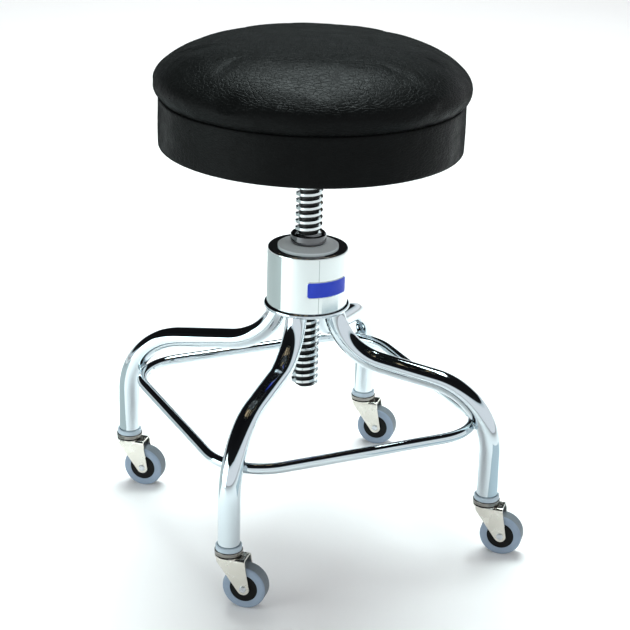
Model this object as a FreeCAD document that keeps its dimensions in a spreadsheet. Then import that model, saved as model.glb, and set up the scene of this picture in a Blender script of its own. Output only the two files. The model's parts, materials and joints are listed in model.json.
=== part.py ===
import FreeCAD, Part
import math
import os
import re

from FreeCAD import Placement, Rotation, Vector
from Sketcher import Constraint

# Workshop stool: a round padded seat on a coarse lift screw, a drum hub with four bent tube legs,
# a square foot ring with round corners, and four swivel casters.
# Millimetres, +Z up, origin on the floor under the middle of the whole outline.
# The front leg points along -Y, the right one along +X.

SIZES = {
    # Seat
    "axis_x": -15.3,
    "seat_radius": 177.9,
    "seat_bottom": 480.1,
    "band_height": 57.8,
    "band_wall": 2.4,
    "band_edge": 2.0,
    "crown_radius": 186.6,
    "crown_belly": 13.6,
    "crown_shoulder": 23.4,
    "crown_shoulder_angle": 42.4,
    "crown_slope_radius": 115.5,
    "crown_top_angle": 7.6,
    "seam_tuck": 1.6,
    "board_thick": 12.0,
    "flange_radius": 82.5,
    "flange_thick": 4.0,
    "boss_radius": 24.0,
    "boss_height": 7.5,
    "screw_circle": 68.0,
    "wood_screw_radius": 2.6,
    "wood_screw_head": 5.2,
    "wood_screw_head_height": 3.0,
    "wood_screw_depth": 9.0,
    "wood_screw_play": 0.4,
    "wood_screws": 6,
    # Lift screw and nut
    "thread_radius": 16.2,
    "thread_root": 12.0,
    "thread_pitch": 8.467,
    "thread_crest": 3.1,
    "thread_flank": 14.5,
    "thread_play": 0.45,
    "thread_runout": 1.0,
    "screw_bottom": 178.8,
    "screw_end_chamfer": 2.0,
    "bumper_radius": 22.0,
    "bumper_thick": 6.0,
    "nut_neck": 18.8,
    "nut_collar": 21.4,
    "nut_collar_height": 11.4,
    "nut_chamfer": 1.6,
    "nut_neck_show": 1.2,
    "nut_thread": 42.0,
    "nut_length": 70.0,
    # Hub
    "hub_radius": 48.5,
    "hub_bottom": 286.0,
    "hub_height": 69.8,
    "hub_wall": 2.0,
    "hub_edge": 2.6,
    "base_ring_radius": 51.8,
    "base_ring_thick": 6.0,
    "base_ring_hole": 19.0,
    "spider_thick": 12.0,
    "spider_bottom": 332.0,
    "washer_radius": 36.4,
    "washer_rim": 1.8,
    "washer_step": 4.0,
    "washer_bevel": 0.6,
    "washer_height": 4.4,
    # Legs and foot ring
    "leg_radius": 12.7,
    "leg_wall": 1.65,
    "leg_reach": 237.3,
    "leg_start": 33.2,
    "leg_bend_top": 292.5,
    "leg_upper_bend": 72.5,
    "leg_angle": 7.9,
    "leg_lower_bend": 83.0,
    "leg_bottom": 71.2,
    "ring_height": 158.6,
    "ring_tube": 6.35,
    "ring_corner": 66.0,
    "ring_bite": 0.8,
    # Casters
    "caster_heading": 3.7,
    "caster_trail": 21.2,
    "wheel_radius": 25.4,
    "wheel_width": 19.3,
    "wheel_edge": 2.6,
    "core_radius": 16.4,
    "core_recess": 0.5,
    "core_boss": 6.2,
    "core_boss_out": 0.25,
    "axle_radius": 2.5,
    "axle_play": 0.25,
    "axle_head": 3.9,
    "axle_head_height": 1.5,
    "axle_head_bevel": 0.7,
    "fork_inside": 10.4,
    "fork_sheet": 1.9,
    "fork_top": 61.6,
    "fork_bend": 4.0,
    "fork_rear_lean": 10.0,
    "fork_front_lean": 36.7,
    "fork_eye": 7.2,
    "fork_skirt": 5.6,
    "fork_disc": 15.8,
    "socket_radius": 15.1,
    "socket_bottom": 68.6,
    "socket_height": 5.8,
    "socket_plug": 34.0,
    "socket_play": 0.15,
    "socket_bevel": 0.8,
    "race_radius": 16.3,
    "race_height": 5.5,
    "race_edge": 1.2,
    "stem_radius": 4.0,
    "stem_play": 0.3,
    "stem_head": 7.5,
    "stem_head_height": 2.2,
    "stem_inset": 4.0,
    "bearing_radius": 14.7,
    "bearing_gap": 0.3,
}

doc = FreeCAD.newDocument("stool")
sheet = doc.addObject("Spreadsheet::Sheet", "sizes")
for row, (alias, size) in enumerate(SIZES.items(), start=1):
    sheet.set("A%d" % row, alias)
    sheet.set("B%d" % row, str(size))
    sheet.setAlias("B%d" % row, alias)
doc.recompute()

LEGS = {"front": -90.0, "right": 0.0, "back": 90.0, "left": 180.0}
QUARTER_TURN = 90.0
SOFT_CLEARANCE = 0.3
PRESS_CLEARANCE = 0.1
RIDGE_ROOT = 0.3
CUT_PAST = 1.0

# Heights and reaches that follow from the driving sizes
SEAM = "(seat_bottom + band_height)"
BAND_INSIDE = "(seat_radius - band_wall)"
BOARD_TOP = "(seat_bottom + board_thick)"
FLANGE_BOTTOM = "(seat_bottom - flange_thick)"
BOSS_BOTTOM = "(seat_bottom - flange_thick - boss_height)"
BUMPER_BOTTOM = "(seat_bottom - flange_thick - boss_height - bumper_thick)"
THREAD_FOOT = "(screw_bottom - thread_pitch)"
THREAD_HEAD = "(seat_bottom - flange_thick - boss_height - bumper_thick - thread_runout)"
HUB_TOP = "(hub_bottom + hub_height)"
WASHER_TOP = "(hub_bottom + hub_height + washer_height)"
COLLAR_BOTTOM = "(hub_bottom + hub_height + washer_height + nut_neck_show)"
COLLAR_TOP = "(hub_bottom + hub_height + washer_height + nut_neck_show + nut_collar_height)"
FORK_OUTSIDE = "(fork_inside + fork_sheet)"
FORK_UNDER = "(fork_top - fork_sheet)"
RACE_BOTTOM = "(socket_bottom - race_height)"
TUBE_BORE = "(leg_radius - leg_wall)"
HALF_WHEEL = "(wheel_width / 2)"
CORE_RADIUS = "(seat_radius - band_wall - %s)" % SOFT_CLEARANCE
CUT_SPAN = "(4 * wheel_radius)"

# The leg's two bends, and the foot ring's reach to the inner side of the lower one
SLOPE = "(leg_angle * 1 deg)"
UPPER_BEND_X = "(leg_start + leg_upper_bend * (1 - sin%s))" % SLOPE
UPPER_BEND_Z = "(leg_bend_top - leg_upper_bend * cos%s)" % SLOPE
LOWER_BEND_X = "(leg_reach - leg_lower_bend * (1 - sin%s))" % SLOPE
LOWER_BEND_Z = "(%s - (%s - %s) * tan%s)" % (UPPER_BEND_Z, LOWER_BEND_X, UPPER_BEND_X, SLOPE)
LOWER_BEND_END = "(%s - leg_lower_bend * cos%s)" % (LOWER_BEND_Z, SLOPE)
INSIDE_BEND = "(leg_lower_bend - leg_radius - ring_tube + ring_bite)"
RING_RISE = "max(ring_height - %s; 0)" % LOWER_BEND_END
RING_REACH = "(leg_reach - leg_lower_bend + sqrt(%s ^ 2 - %s ^ 2))" % (INSIDE_BEND, RING_RISE)
RING_SIDE = "((%s + ring_corner * (sqrt(2) - 1)) / sqrt(2))" % RING_REACH

finished = []


def bound(expression):
    """The expression with each size read from the sheet."""
    return re.sub(r"[A-Za-z_]\w*", lambda m: "sizes." + m[0] if m[0] in SIZES else m[0], str(expression))


def value(expression):
    """The number that an expression stands for now."""
    return float(sheet.evalExpression(bound(expression)))


def bind(thing, **links):
    """Ties properties to sizes; two underscores in a name stand for a dot."""
    for name, expression in links.items():
        thing.setExpression(name.replace("__", "."), bound(expression))


def stand(thing, x="axis_x", y="0", z="0", turn=0.0, tip=0.0):
    """Places an object by expressions, tips it about X and turns it about the vertical."""
    upright = Rotation(Vector(0, 0, 1), turn) * Rotation(Vector(1, 0, 0), tip)
    thing.Placement = Placement(Vector(0, 0, 0), upright)
    bind(thing, Placement__Base__x=x, Placement__Base__y=y, Placement__Base__z=z)
    return thing


def finish(thing, label):
    """Gives a sub-part the name that its file gets."""
    thing.Label = label
    finished.append(thing)
    return thing


def primitive(kind, name, x="0", y="0", z="0", **links):
    """A box, cylinder, cone, sphere or torus whose sizes and place are expressions."""
    thing = doc.addObject("Part::" + kind, name)
    bind(thing, Placement__Base__x=x, Placement__Base__y=y, Placement__Base__z=z, **links)
    return thing


def joined(name, parts):
    fuse = doc.addObject("Part::MultiFuse", name)
    fuse.Shapes = parts
    return fuse


def less(name, base, tool):
    cut = doc.addObject("Part::Cut", name)
    cut.Base = base
    cut.Tool = tool
    return cut


def plane_of(body, role):
    return next(item for item in body.Origin.OriginFeatures if item.Role == role)


def sketch_in(body, role, name):
    sketch = body.newObject("Sketcher::SketchObject", name)
    sketch.AttachmentSupport = (plane_of(body, role), [""])
    sketch.MapMode = "FlatFace"
    return sketch


def pin(sketch, geometry, point, x, y):
    """Holds one point of a sketch at a place given by two expressions."""
    for kind, axis, expression in (("DistanceX", -2, x), ("DistanceY", -1, y)):
        if expression == "0":
            sketch.addConstraint(Constraint("PointOnObject", geometry, point, axis))
            continue
        number = sketch.addConstraint(Constraint(kind, -1, 1, geometry, point, value(expression)))
        sketch.setExpression("Constraints[%d]" % number, bound(expression))


def arc_centre(start, end, radius):
    """The centre of the arc of the smaller turn; a minus radius bends to the right of the way."""
    half = (end - start) * 0.5
    height = math.sqrt(max(radius * radius - half.Length ** 2, 0.0))
    side = Vector(-half.y, half.x, 0).normalize()
    return start + half + side * (height if radius > 0 else -height)


def outline(sketch, points, closed=True):
    """An outline or a route of straight runs and arcs.

    Each point is (x, y) or (x, y, radius): the radius is that of the arc to the next point,
    plus where it bends to the left of the way and minus where it bends to the right.
    """
    places = [Vector(value(p[0]), value(p[1]), 0) for p in points]
    count = len(points)
    ends = []
    for i, point in enumerate(points if closed else points[:-1]):
        start, end = places[i], places[(i + 1) % count]
        if len(point) == 2:
            number = sketch.addGeometry(Part.LineSegment(start, end))
            ends.append((number, 1, 2))
            continue
        radius = value(point[2])
        centre = arc_centre(start, end, radius)
        circle = Part.Circle(centre, Vector(0, 0, 1), abs(radius))
        first, last = (start, end) if radius > 0 else (end, start)
        arc = Part.ArcOfCircle(circle, circle.parameter(first), circle.parameter(last))
        number = sketch.addGeometry(arc)
        ends.append((number, 1, 2) if radius > 0 else (number, 2, 1))
        held = sketch.addConstraint(Constraint("Radius", number, abs(radius)))
        sketch.setExpression("Constraints[%d]" % held, bound("abs(%s)" % point[2]))
    for i, (number, first, last) in enumerate(ends):
        pin(sketch, number, first, points[i][0], points[i][1])
        if closed or i + 1 < len(ends):
            following = ends[(i + 1) % len(ends)]
            sketch.addConstraint(Constraint("Coincident", number, last, following[0], following[1]))
        else:
            pin(sketch, number, last, points[-1][0], points[-1][1])


def turned(label, points):
    """A piece turned about its own upright axis from a half section of (radius, height) points."""
    body = doc.addObject("PartDesign::Body", label)
    section = sketch_in(body, "XZ_Plane", label + "_section")
    outline(section, points)
    spin = body.newObject("PartDesign::Revolution", label + "_turned")
    spin.Profile = section
    spin.ReferenceAxis = (section, ["V_Axis"])
    spin.Angle = 360
    return stand(body)


def circle(sketch, x, y, radius):
    """A circle held at its centre, with its radius tied to a size."""
    number = sketch.addGeometry(Part.Circle(Vector(value(x), value(y), 0), Vector(0, 0, 1), value(radius)))
    pin(sketch, number, 3, x, y)
    held = sketch.addConstraint(Constraint("Radius", number, value(radius)))
    sketch.setExpression("Constraints[%d]" % held, bound(radius))


def padded(label, role, points, width):
    """An outline made solid to both sides of its plane."""
    body = doc.addObject("PartDesign::Body", label)
    section = sketch_in(body, role, label + "_section")
    outline(section, points)
    pad = body.newObject("PartDesign::Pad", label + "_pad")
    pad.Profile = section
    pad.SideType = "Symmetric"
    bind(pad, Length=width)
    return body


# Seat: a plywood board, a padded crown with a foam core, and the sewn band round them
def ring_place(i, count, radius):
    """Where one of a ring of fasteners stands, as two expressions."""
    angle = "(360 / %s * %.1f * 1 deg)" % (count, i + 0.5)
    return "axis_x + %s * cos%s" % (radius, angle), "%s * sin%s" % (radius, angle)


def flange_pattern(name, radius, bottom, height):
    """One upright cylinder at each of the flange's wood screws."""
    rods = []
    for i in range(round(value("wood_screws"))):
        x, y = ring_place(i, "wood_screws", "screw_circle")
        rods.append(primitive("Cylinder", "%s_%d" % (name, i), x=x, y=y, z=bottom, Radius=radius, Height=height))
    return joined(name, rods)


def seat_board():
    """Plywood disc that carries the padding, with blind pilot holes for the flange's screws."""
    board = primitive("Cylinder", "board_disc", x="axis_x", z="seat_bottom",
                      Radius=CORE_RADIUS, Height="board_thick")
    pilots = flange_pattern("pilots", "wood_screw_radius", "seat_bottom - %s" % CUT_PAST,
                            "wood_screw_depth + %s" % CUT_PAST)
    finish(less("board_bored", board, pilots), "seat_board")


def seat_cushion():
    """The padded crown: a shallow dome, a round shoulder, and a belly drawn in to the seam."""
    shoulder = "(crown_shoulder_angle * 1 deg)"
    rise = "(crown_top_angle * 1 deg)"
    belly = SEAM + " + crown_belly"
    shoulder_x = "(crown_radius - crown_shoulder * (1 - sin%s))" % shoulder
    shoulder_z = "(%s + crown_shoulder * cos%s)" % (belly, shoulder)
    top_x = "(%s - crown_slope_radius * (sin%s - sin%s))" % (shoulder_x, shoulder, rise)
    top_z = "(%s + crown_slope_radius * (cos%s - cos%s))" % (shoulder_z, rise, shoulder)
    top_radius = "(%s / sin%s)" % (top_x, rise)
    seam = SEAM + " + %s" % SOFT_CLEARANCE
    drawn_in = "(crown_radius - seat_radius + seam_tuck)"
    lift = "(crown_belly - %s)" % SOFT_CLEARANCE
    belly_radius = "((%s ^ 2 + %s ^ 2) / (2 * %s))" % (drawn_in, lift, drawn_in)
    section = [
        ("0", BOARD_TOP + " + %s" % SOFT_CLEARANCE),
        (CORE_RADIUS, BOARD_TOP + " + %s" % SOFT_CLEARANCE),
        (CORE_RADIUS, seam),
        ("seat_radius - seam_tuck", seam, belly_radius),
        ("crown_radius", belly, "crown_shoulder"),
        (shoulder_x, shoulder_z, "crown_slope_radius"),
        (top_x, top_z, top_radius),
        ("0", "%s + %s * (1 - cos%s)" % (top_z, top_radius, rise)),
    ]
    finish(turned("cushion", section), "seat_cushion")


def seat_band():
    """The upright band, sewn to the crown above and folded in at the board's edge."""
    section = [
        (BAND_INSIDE, "seat_bottom"),
        ("seat_radius - band_edge", "seat_bottom", "band_edge"),
        ("seat_radius", "seat_bottom + band_edge"),
        ("seat_radius", SEAM),
        (BAND_INSIDE, SEAM),
    ]
    finish(turned("band", section), "seat_band")


def seat_flange():
    """Steel plate with a short boss, welded to the lift screw and screwed to the board."""
    section = [
        ("thread_root", BOSS_BOTTOM),
        ("boss_radius", BOSS_BOTTOM),
        ("boss_radius", FLANGE_BOTTOM),
        ("flange_radius", FLANGE_BOTTOM),
        ("flange_radius", "seat_bottom"),
        ("thread_root", "seat_bottom"),
    ]
    holes = flange_pattern("flange_holes", "wood_screw_radius + wood_screw_play",
                           "%s - %s" % (FLANGE_BOTTOM, CUT_PAST), "flange_thick + 2 * %s" % CUT_PAST)
    finish(less("flange_bored", turned("flange", section), holes), "seat_flange")


def seat_screws():
    """The wood screws: flat heads under the flange and shanks that end inside the board."""
    heads = flange_pattern("screw_heads", "wood_screw_head", FLANGE_BOTTOM + " - wood_screw_head_height",
                           "wood_screw_head_height")
    shanks = flange_pattern("screw_shanks", "wood_screw_radius", FLANGE_BOTTOM, "flange_thick + wood_screw_depth")
    finish(joined("screws_whole", [heads, shanks]), "seat_screws")


def lift_bumper():
    """Rubber ring under the flange that meets the nut when the seat is right down."""
    section = [
        ("thread_root + %s" % SOFT_CLEARANCE, BUMPER_BOTTOM),
        ("bumper_radius", BUMPER_BOTTOM),
        ("bumper_radius", BOSS_BOTTOM + " - %s" % SOFT_CLEARANCE),
        ("thread_root + %s" % SOFT_CLEARANCE, BOSS_BOTTOM + " - %s" % SOFT_CLEARANCE),
    ]
    finish(turned("bumper", section), "lift_bumper")


# Lift screw and nut: one right-hand thread of trapezoid form, raised outside and cut inside
def thread_ridge(name, play, foot, turns):
    """The thread's ridge, swept along its helix from the foot up and wider by the play all round."""
    slope = "tan(thread_flank * 1 deg)"
    inner = "(thread_root - %s)" % RIDGE_ROOT
    outer = "(thread_radius + %s)" % play
    half_crest = "(thread_crest / 2 + %s)" % play
    half_root = "(%s + (%s - %s) * %s)" % (half_crest, outer, inner, slope)
    profile = doc.addObject("Sketcher::SketchObject", name + "_profile")
    profile.Placement = Placement(Vector(0, 0, 0), Rotation(Vector(1, 0, 0), QUARTER_TURN))
    outline(profile, [
        (inner, "-" + half_root),
        (outer, "-" + half_crest),
        (outer, half_crest),
        (inner, half_root),
    ])
    helix = doc.addObject("Part::Helix", name + "_helix")
    bind(helix, Pitch="thread_pitch", Height="thread_pitch * %d" % turns, Radius="thread_root")
    ridge = doc.addObject("Part::Sweep", name)
    ridge.Sections = [profile]
    ridge.Spine = (helix, ["Edge1"])
    ridge.Solid = True
    ridge.Frenet = True
    return stand(ridge, z=foot)


def lift_screw():
    """The long screw: thread up to the bumper, a plain neck through it, and a bevelled lower end."""
    turns = math.ceil((value(THREAD_HEAD) - value(THREAD_FOOT)) / value("thread_pitch")) + 1
    past_ridge = "thread_radius + %s" % CUT_PAST
    room = turned("ridge_room", [
        ("0", "screw_bottom"),
        ("thread_radius - screw_end_chamfer", "screw_bottom"),
        (past_ridge, "screw_bottom + screw_end_chamfer + %s" % CUT_PAST),
        (past_ridge, THREAD_HEAD),
        ("0", THREAD_HEAD),
    ])
    trimmed = doc.addObject("Part::Common", "ridge_trimmed")
    trimmed.Base = thread_ridge("screw_ridge", "0", THREAD_FOOT, turns)
    trimmed.Tool = room
    neck = primitive("Cylinder", "screw_neck", x="axis_x", z="screw_bottom",
                     Radius="thread_root", Height="seat_bottom - screw_bottom")
    finish(joined("screw_whole", [neck, trimmed]), "lift_screw")


def lift_nut():
    """The fixed nut: a chamfered collar over the hub and a neck, relieved below its thread."""
    bottom = COLLAR_TOP + " - nut_length"
    thread_bottom = COLLAR_TOP + " - nut_thread"
    relief = "thread_radius + 2 * thread_play"
    blank = turned("nut_blank", [
        ("0", thread_bottom),
        (relief, thread_bottom),
        (relief, bottom),
        ("nut_neck", bottom),
        ("nut_neck", COLLAR_BOTTOM),
        ("nut_collar - nut_chamfer", COLLAR_BOTTOM),
        ("nut_collar", COLLAR_BOTTOM + " + nut_chamfer"),
        ("nut_collar", COLLAR_TOP + " - nut_chamfer"),
        ("nut_collar - nut_chamfer", COLLAR_TOP),
        ("0", COLLAR_TOP),
    ])
    pitch = value("thread_pitch")
    skipped = math.floor((value(thread_bottom) - value(THREAD_FOOT)) / pitch) - 1
    foot = THREAD_FOOT + " + thread_pitch * %d" % skipped
    turns = math.ceil((value(COLLAR_TOP) - value(foot)) / pitch) + 1
    grooved = less("nut_grooved", blank, thread_ridge("nut_groove", "thread_play", foot, turns))
    bore = primitive("Cylinder", "nut_bore", x="axis_x", z=bottom, Radius="thread_root + thread_play",
                     Height="nut_length + %s" % CUT_PAST)
    finish(less("nut_bored", grooved, bore), "lift_nut")


# Hub: a drawn drum over a spider, closed below by a thick ring that the legs pass through
def hub_shell():
    """Thin polished drum with a rounded upper edge and a hole for the nut's neck."""
    inner_edge = "(hub_edge - hub_wall)"
    hole = "nut_neck + %s" % PRESS_CLEARANCE
    section = [
        ("hub_radius - hub_wall", "hub_bottom"),
        ("hub_radius", "hub_bottom"),
        ("hub_radius", HUB_TOP + " - hub_edge", "hub_edge"),
        ("hub_radius - hub_edge", HUB_TOP),
        (hole, HUB_TOP),
        (hole, HUB_TOP + " - hub_wall"),
        ("hub_radius - hub_edge", HUB_TOP + " - hub_wall", "-" + inner_edge),
        ("hub_radius - hub_wall", HUB_TOP + " - hub_edge"),
    ]
    finish(turned("shell", section), "hub_shell")


def hub_spider():
    """Steel disc inside the drum that the nut and the legs' upper ends are welded to."""
    section = [
        ("nut_neck + %s" % PRESS_CLEARANCE, "spider_bottom"),
        ("hub_radius - hub_wall - %s" % PRESS_CLEARANCE, "spider_bottom"),
        ("hub_radius - hub_wall - %s" % PRESS_CLEARANCE, "spider_bottom + spider_thick"),
        ("nut_neck + %s" % PRESS_CLEARANCE, "spider_bottom + spider_thick"),
    ]
    finish(turned("spider", section), "hub_spider")


def hub_base_ring(rods):
    """Round-edged ring under the drum, pierced where the four legs come out."""
    half = "base_ring_thick / 2"
    section = [
        ("base_ring_hole", "hub_bottom - base_ring_thick"),
        ("base_ring_radius - " + half, "hub_bottom - base_ring_thick", half),
        ("base_ring_radius", "hub_bottom - " + half, half),
        ("base_ring_radius - " + half, "hub_bottom"),
        ("base_ring_hole", "hub_bottom"),
    ]
    finish(less("base_ring_pierced", turned("base_ring", section), joined("leg_rods", rods)), "hub_base_ring")


def hub_washer():
    """Pale moulded washer between the drum and the nut's collar: a rim, a step and a low cone."""
    hole = "nut_neck + %s" % SOFT_CLEARANCE
    section = [
        (hole, HUB_TOP),
        ("washer_radius", HUB_TOP),
        ("washer_radius", HUB_TOP + " + washer_rim"),
        ("washer_radius - washer_step", HUB_TOP + " + washer_rim + washer_bevel"),
        ("nut_collar", WASHER_TOP),
        (hole, WASHER_TOP),
    ]
    finish(turned("washer", section), "hub_washer")


# Legs and foot ring: bent round tube
def piped(name, path_plane, rim_plane, points, rim, rim_height="0", closed=False):
    """A round bar along a route; the rim is its circle, as (x, y, radius) on its own plane."""
    body = doc.addObject("PartDesign::Body", name)
    path = sketch_in(body, path_plane, name + "_path")
    outline(path, points, closed)
    section = sketch_in(body, rim_plane, name + "_rim")
    bind(section, AttachmentOffset__Base__z=rim_height)
    circle(section, *rim)
    doc.recompute()
    pipe = body.newObject("PartDesign::AdditivePipe", name + "_swept")
    pipe.Profile = section
    pipe.Spine = (path, ["Edge%d" % (i + 1) for i in range(path.GeometryCount)])
    return body


def leg_bar(name, angle, radius, past):
    """Bar along the leg's route: down out of the hub, out on a gentle slope, down to its caster."""
    top = "spider_bottom + %s" % past
    bar = piped(name, "XZ_Plane", "XY_Plane", [
        ("leg_start", top),
        ("leg_start", "leg_bend_top", "leg_upper_bend"),
        (UPPER_BEND_X, UPPER_BEND_Z),
        (LOWER_BEND_X, LOWER_BEND_Z, "-leg_lower_bend"),
        ("leg_reach", LOWER_BEND_END),
        ("leg_reach", "leg_bottom - %s" % past),
    ], ("leg_start", "0", radius), top)
    return stand(bar, turn=angle)


def leg(side, angle, ring):
    """One tube leg, notched on its inner side for the foot ring; gives back the bar it is made from."""
    bar = leg_bar("leg_bar_" + side, angle, "leg_radius", 0.0)
    bore = leg_bar("leg_bore_" + side, angle, TUBE_BORE, CUT_PAST)
    finish(less("leg_notched_" + side, less("leg_tube_" + side, bar, bore), ring), "leg_" + side)
    return bar


def foot_ring():
    """Square ring of thin rod whose wide round corners are let into the legs' inner sides."""
    run = "(%s - ring_corner)" % RING_SIDE
    ring = piped("ring_bar", "XY_Plane", "YZ_Plane", [
        ("0", "-" + RING_SIDE),
        (run, "-" + RING_SIDE, "ring_corner"),
        (RING_SIDE, "-" + run),
        (RING_SIDE, run, "ring_corner"),
        (run, RING_SIDE),
        ("-" + run, RING_SIDE, "ring_corner"),
        ("-" + RING_SIDE, run),
        ("-" + RING_SIDE, "-" + run, "ring_corner"),
        ("-" + run, "-" + RING_SIDE),
    ], ("-" + RING_SIDE, "0", "ring_tube"), closed=True)
    return finish(stand(ring, z="ring_height", turn=45.0), "foot_ring")


# Casters: each with a plastic socket in the tube, a stem with its race, a fork and a soft tyred wheel
def caster_socket(side, x, y):
    bore = "stem_radius + %s" % PRESS_CLEARANCE
    plug = TUBE_BORE + " - socket_play"
    rim = "socket_bottom + socket_height"
    section = [
        (bore, "socket_bottom"),
        ("socket_radius", "socket_bottom"),
        ("socket_radius", rim + " - socket_bevel"),
        ("leg_radius + socket_play + socket_bevel", rim),
        ("leg_radius + socket_play", rim + " - socket_bevel"),
        ("leg_radius + socket_play", "leg_bottom"),
        (plug, "leg_bottom"),
        (plug, "socket_bottom + socket_plug"),
        (bore, "socket_bottom + socket_plug"),
    ]
    finish(stand(turned("socket_" + side, section), x, y), "caster_socket_" + side)


def caster_stem(side, x, y):
    """Riveted stem with the upper ball race that the fork turns under."""
    head_top = FORK_UNDER + " - stem_play"
    section = [
        ("0", head_top + " - stem_head_height"),
        ("stem_head", head_top + " - stem_head_height"),
        ("stem_head", head_top),
        ("stem_radius", head_top),
        ("stem_radius", RACE_BOTTOM),
        ("race_radius - race_edge", RACE_BOTTOM, "race_edge"),
        ("race_radius", RACE_BOTTOM + " + race_edge"),
        ("race_radius", "socket_bottom - race_edge", "race_edge"),
        ("race_radius - race_edge", "socket_bottom"),
        ("stem_radius", "socket_bottom"),
        ("stem_radius", "socket_bottom + socket_plug - stem_inset"),
        ("0", "socket_bottom + socket_plug - stem_inset"),
    ]
    finish(stand(turned("stem_" + side, section), x, y), "caster_stem_" + side)


def caster_bearing(side, x, y):
    """Dark nylon ring on the fork, just under the race."""
    bore = "stem_radius + stem_play"
    section = [
        (bore, "fork_top"),
        ("bearing_radius", "fork_top"),
        ("bearing_radius", RACE_BOTTOM + " - bearing_gap"),
        (bore, RACE_BOTTOM + " - bearing_gap"),
    ]
    finish(stand(turned("bearing_" + side, section), x, y), "caster_bearing_" + side)


def caster_fork(side, x, y, heading):
    """Pressed fork: a round-shouldered channel, its cheeks tapered to a rounded eye at the axle."""
    front = "(fork_front_lean * 1 deg)"
    rear = "(fork_rear_lean * 1 deg)"
    rear_x = "(caster_trail + fork_eye * cos%s)" % rear
    rear_z = "(wheel_radius + fork_eye * sin%s)" % rear
    front_x = "(caster_trail - fork_eye * cos%s)" % front
    front_z = "(wheel_radius - fork_eye * sin%s)" % front
    skirt_x = "(%s - (fork_top - fork_skirt - %s) * tan%s)" % (front_x, front_z, front)
    cheeks = padded("cheeks_" + side, "XZ_Plane", [
        (skirt_x, "fork_top"),
        (skirt_x, "fork_top - fork_skirt"),
        (front_x, front_z, "fork_eye"),
        (rear_x, rear_z),
        ("(%s - (fork_top - %s) * tan%s)" % (rear_x, rear_z, rear), "fork_top"),
    ], CUT_SPAN)
    inner_bend = "(fork_bend - fork_sheet)"
    outer, inner = FORK_OUTSIDE, "fork_inside"
    channel = padded("channel_" + side, "YZ_Plane", [
        (inner, "0"),
        (outer, "0"),
        (outer, "fork_top - fork_bend", "fork_bend"),
        (outer + " - fork_bend", "fork_top"),
        ("-%s + fork_bend" % outer, "fork_top", "fork_bend"),
        ("-" + outer, "fork_top - fork_bend"),
        ("-" + outer, "0"),
        ("-" + inner, "0"),
        ("-" + inner, "%s - %s" % (FORK_UNDER, inner_bend), "-" + inner_bend),
        ("-%s + %s" % (inner, inner_bend), FORK_UNDER),
        ("%s - %s" % (inner, inner_bend), FORK_UNDER, "-" + inner_bend),
        (inner, "%s - %s" % (FORK_UNDER, inner_bend)),
    ], CUT_SPAN)
    folded = doc.addObject("Part::Common", "folded_" + side)
    folded.Base = cheeks
    folded.Tool = channel
    disc = primitive("Cylinder", "fork_disc_" + side, z=FORK_UNDER, Radius="fork_disc", Height="fork_sheet")
    swivel = primitive("Cylinder", "swivel_hole_" + side, z="%s - %s" % (FORK_UNDER, CUT_PAST),
                       Radius="stem_radius + stem_play", Height="fork_sheet + 2 * %s" % CUT_PAST)
    axle = primitive("Cylinder", "axle_hole_" + side, x="caster_trail", y="-%s / 2" % CUT_SPAN,
                     z="wheel_radius", Radius="axle_radius", Height=CUT_SPAN)
    axle.Placement.Rotation = Rotation(Vector(1, 0, 0), -QUARTER_TURN)
    whole = less("fork_cut_" + side, joined("fork_blank_" + side, [folded, disc]),
                 joined("fork_holes_" + side, [swivel, axle]))
    finish(stand(whole, x, y, turn=heading), "caster_fork_" + side)


def wheel_piece(label, section, x, y, heading):
    """A piece turned about the axle, at the wheel's centre."""
    hub_x = "%s + caster_trail * cos(caster_heading * 1 deg)" % x
    hub_y = "%s + caster_trail * sin(caster_heading * 1 deg)" % y
    shape = turned("shape_" + label, section)
    finish(stand(shape, hub_x, hub_y, "wheel_radius", turn=heading, tip=QUARTER_TURN), label)


def mirrored(points):
    """A half section completed by its mirror image below; points run from inside out, then up."""
    below = [(r, "-(%s)" % h) for r, h in points]
    return below + points[::-1]


def caster_wheel(side, x, y, heading):
    """Hard core with a short boss, soft tyre with rounded edges, and the riveted axle."""
    face = "(%s - core_recess)" % HALF_WHEEL
    boss_end = "(%s + core_boss_out)" % HALF_WHEEL
    wheel_piece("wheel_core_" + side, mirrored([
        ("axle_radius + axle_play", boss_end),
        ("core_boss", boss_end),
        ("core_boss", face),
        ("core_radius", face),
    ]), x, y, heading)
    shoulder = "wheel_radius - wheel_edge"
    wheel_piece("wheel_tyre_" + side, [
        ("core_radius", "-" + HALF_WHEEL),
        (shoulder, "-" + HALF_WHEEL, "wheel_edge"),
        ("wheel_radius", "-%s + wheel_edge" % HALF_WHEEL),
        ("wheel_radius", "%s - wheel_edge" % HALF_WHEEL, "wheel_edge"),
        (shoulder, HALF_WHEEL),
        ("core_radius", HALF_WHEEL),
    ], x, y, heading)
    head = "(%s + axle_head_height)" % FORK_OUTSIDE
    wheel_piece("caster_axle_" + side, mirrored([
        ("0", head),
        ("axle_head - axle_head_bevel", head),
        ("axle_head", head + " - axle_head_bevel"),
        ("axle_head", FORK_OUTSIDE),
        ("axle_radius", FORK_OUTSIDE),
    ]), x, y, heading)


def caster(side, angle):
    x = "axis_x + leg_reach * cos(%s * 1 deg)" % angle
    y = "leg_reach * sin(%s * 1 deg)" % angle
    heading = value("caster_heading")
    caster_socket(side, x, y)
    caster_stem(side, x, y)
    caster_bearing(side, x, y)
    caster_fork(side, x, y, heading)
    caster_wheel(side, x, y, heading)


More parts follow.
